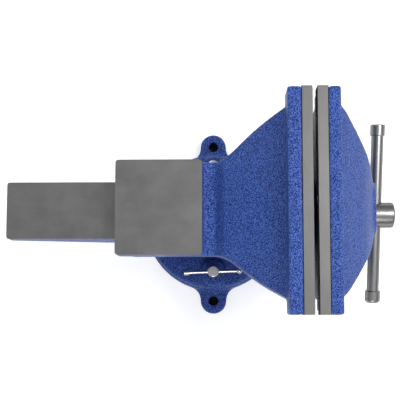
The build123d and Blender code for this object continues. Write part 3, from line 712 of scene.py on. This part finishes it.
# %% Teeth rule
def teeth_tree(material):
    graph, sizes = geometry_graph(
        "jaw_teeth", Face=0, Side=0, Middle=0, Width=0, Height=0, Step=0, Tooth=0, Bolts=0, Clear=0
    )
    step = sizes["Step"]
    across = graph.math("FLOOR", sizes["Width"] / step)
    up = graph.math("FLOOR", sizes["Height"] / step)
    points = graph.node(
        "GeometryNodeMeshGrid",
        None,
        {
            "Size X": (across - 1) * step,
            "Size Y": (up - 1) * step,
            "Vertices X": across,
            "Vertices Y": up,
        },
    )
    place = graph.node("ShaderNodeSeparateXYZ", None, {0: graph.node("GeometryNodeInputPosition")})
    beside = graph.math("ABSOLUTE", place["X"])
    beside = graph.math("MINIMUM", beside, graph.math("ABSOLUTE", beside - sizes["Bolts"]))
    reach = graph.math("SQRT", beside * beside + place["Y"] * place["Y"])
    blocked = graph.math("LESS_THAN", reach, sizes["Clear"])
    kept = graph.node(
        "GeometryNodeDeleteGeometry", {"domain": "POINT"}, {"Geometry": points, "Selection": blocked}
    )
    tooth = graph.node(
        "GeometryNodeMeshCone",
        {"fill_type": "NGON"},
        {"Vertices": 4, "Radius Top": 0.0, "Radius Bottom": step * 0.68, "Depth": sizes["Tooth"]},
    )
    turned = graph.node(
        "GeometryNodeTransform", None, {"Geometry": tooth, "Rotation": (0, 0, math.pi / 4)}
    )
    dots = graph.node("GeometryNodeMeshToPoints", None, {"Mesh": kept})
    rows = graph.node("GeometryNodeInstanceOnPoints", None, {"Points": dots, "Instance": turned})
    turn = graph.node(
        "ShaderNodeCombineXYZ", None, {"X": math.pi / 2, "Y": 0.0, "Z": sizes["Side"] * (math.pi / 2)}
    )
    offset = graph.node("ShaderNodeCombineXYZ", None, {"X": sizes["Face"], "Z": sizes["Middle"]})
    standing = graph.node(
        "GeometryNodeTransform",
        None,
        {"Geometry": rows, "Translation": offset, "Rotation": turn},
    )
    close_tree(graph, standing, material)
    return graph.tree


tooth_height = 0.7 * MM
tooth_step = 2 * MM
tooth_sunk = 0.1 * MM  # how far the teeth stand in the plate
plate_margin = 1 * MM
screw_pitch = 90 * MM
screw_clear = 8.4 * MM
teeth = teeth_tree(plate_steel)
print("teeth rule:", len(teeth.nodes), "nodes")

# %% [markdown]
# The rule is then run once for each plate. The two plates are mirror images, so one number, the
# side that the plate grips towards, turns the teeth round and moves them to the right face.


# %% Jaw plates
def toothed_plate(node, name, side):
    """side is 1 for the plate that grips towards +X and -1 for the other."""
    low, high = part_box(node)
    face = high.x if side > 0 else low.x
    plate = welded_copy(node, name)
    plate.data.materials.append(plate_steel)
    for vertex in plate.data.vertices:
        if abs(vertex.co.x - face) < 0.00001:
            vertex.co.x -= side * (tooth_height - tooth_sunk)
    smooth_shade(plate.data, 20)
    rows = grown_mesh(
        name + "_teeth",
        teeth,
        Face=face - side * tooth_height,
        Side=side,
        Middle=(low.z + high.z) / 2,
        Width=high.y - low.y - 2 * plate_margin,
        Height=high.z - low.z - 2 * plate_margin,
        Step=tooth_step,
        Tooth=tooth_height,
        Bolts=screw_pitch,
        Clear=screw_clear,
    )
    join_into(plate, rows, 0)
    stand_for(plate, node)


toothed_plate("fixed_jaw_plate", "fixed_toothed_plate", 1)
toothed_plate("moving_jaw_plate", "moving_toothed_plate", -1)

# %% [markdown]
# ## Finishes of the CAD pieces that keep their shape
# The turned and sawn pieces are right as they come from CAD, so they only get their finish.

# %% Finishes
FINISHES = {
    "fixed_plate_screws": black_steel,
    "moving_plate_screws": black_steel,
    "main_nut": nut_bronze,
    "nut_bolt": black_steel,
    "nut_bolt_washer": zinc_plate,
    "pivot_bolt": black_steel,
    "pivot_washer": zinc_plate,
    "clamp_shoe_left": machined_iron,
    "clamp_shoe_right": machined_iron,
    "lock_screw_left": zinc_plate,
    "lock_screw_right": zinc_plate,
    "lock_bar_left": zinc_plate,
    "lock_bar_right": zinc_plate,
    "lock_bar_cap_left": zinc_plate,
    "lock_bar_cap_right": zinc_plate,
    "spring_collar": turned_steel,
    "thrust_washer": turned_steel,
    "retaining_pin": black_steel,
    "thrust_spring": spring_steel,
    "handle_bar": satin_plate,
    "handle_cap_upper": satin_plate,
    "handle_cap_lower": satin_plate,
}
for node, finish in FINISHES.items():
    mesh = frame["nodes"][node].data
    mesh.materials.clear()
    mesh.materials.append(finish)
print(len(FINISHES), "CAD pieces finished")

# %% [markdown]
# ## The floor
# The floor is only the stage: pale, plain, and glowing a little so that the vise's shadow stays
# faint. Under the four lugs it is painted dark and does not glow: painted shade that stands in for
# the shadow in the lugs' bolt holes. Folding the plane with absolute values turns the four lugs into
# one, so one distance tells them all.


# %% Floor
def pale_floor(lug_place, lug_size):
    material, graph, shader = new_material(
        "pale_floor", Specular_IOR_Level=0.1, Emission_Strength=0.50
    )
    place = coordinates(graph)
    folded = graph.node("ShaderNodeVectorMath", {"operation": "ABSOLUTE"}, {0: place})
    sides = graph.node("ShaderNodeSeparateXYZ", None, {0: folded})
    far = graph.math("MAXIMUM", sides["X"], sides["Y"]) - lug_place
    near = graph.math("MINIMUM", sides["X"], sides["Y"])
    outside_lug_shade = graph.math("SQRT", far * far + near * near).steep(lug_size * 0.8, lug_size)
    grain = noise(graph, place, 3, 2)
    pale = graph.blend(grain, (0.66, 0.66, 0.66, 1), (0.69, 0.69, 0.69, 1))
    # painted shade: the floor is dark and does not glow under each lug
    colour = graph.blend(outside_lug_shade, (0.02, 0.02, 0.02, 1), pale)
    glow = graph.blend(outside_lug_shade, (0, 0, 0, 1), (1, 1, 1, 1))
    feed(graph, shader, Base_Color=colour, Emission_Color=glow, Roughness=0.7 + grain * 0.1)
    return material


bpy.ops.mesh.primitive_plane_add(size=40)
floor = bpy.context.object
floor.name = "floor"
lug_place, lug_size = 106 * MM, 17 * MM
floor.data.materials.append(pale_floor(lug_place, lug_size))
print("floor:", floor.dimensions[:])
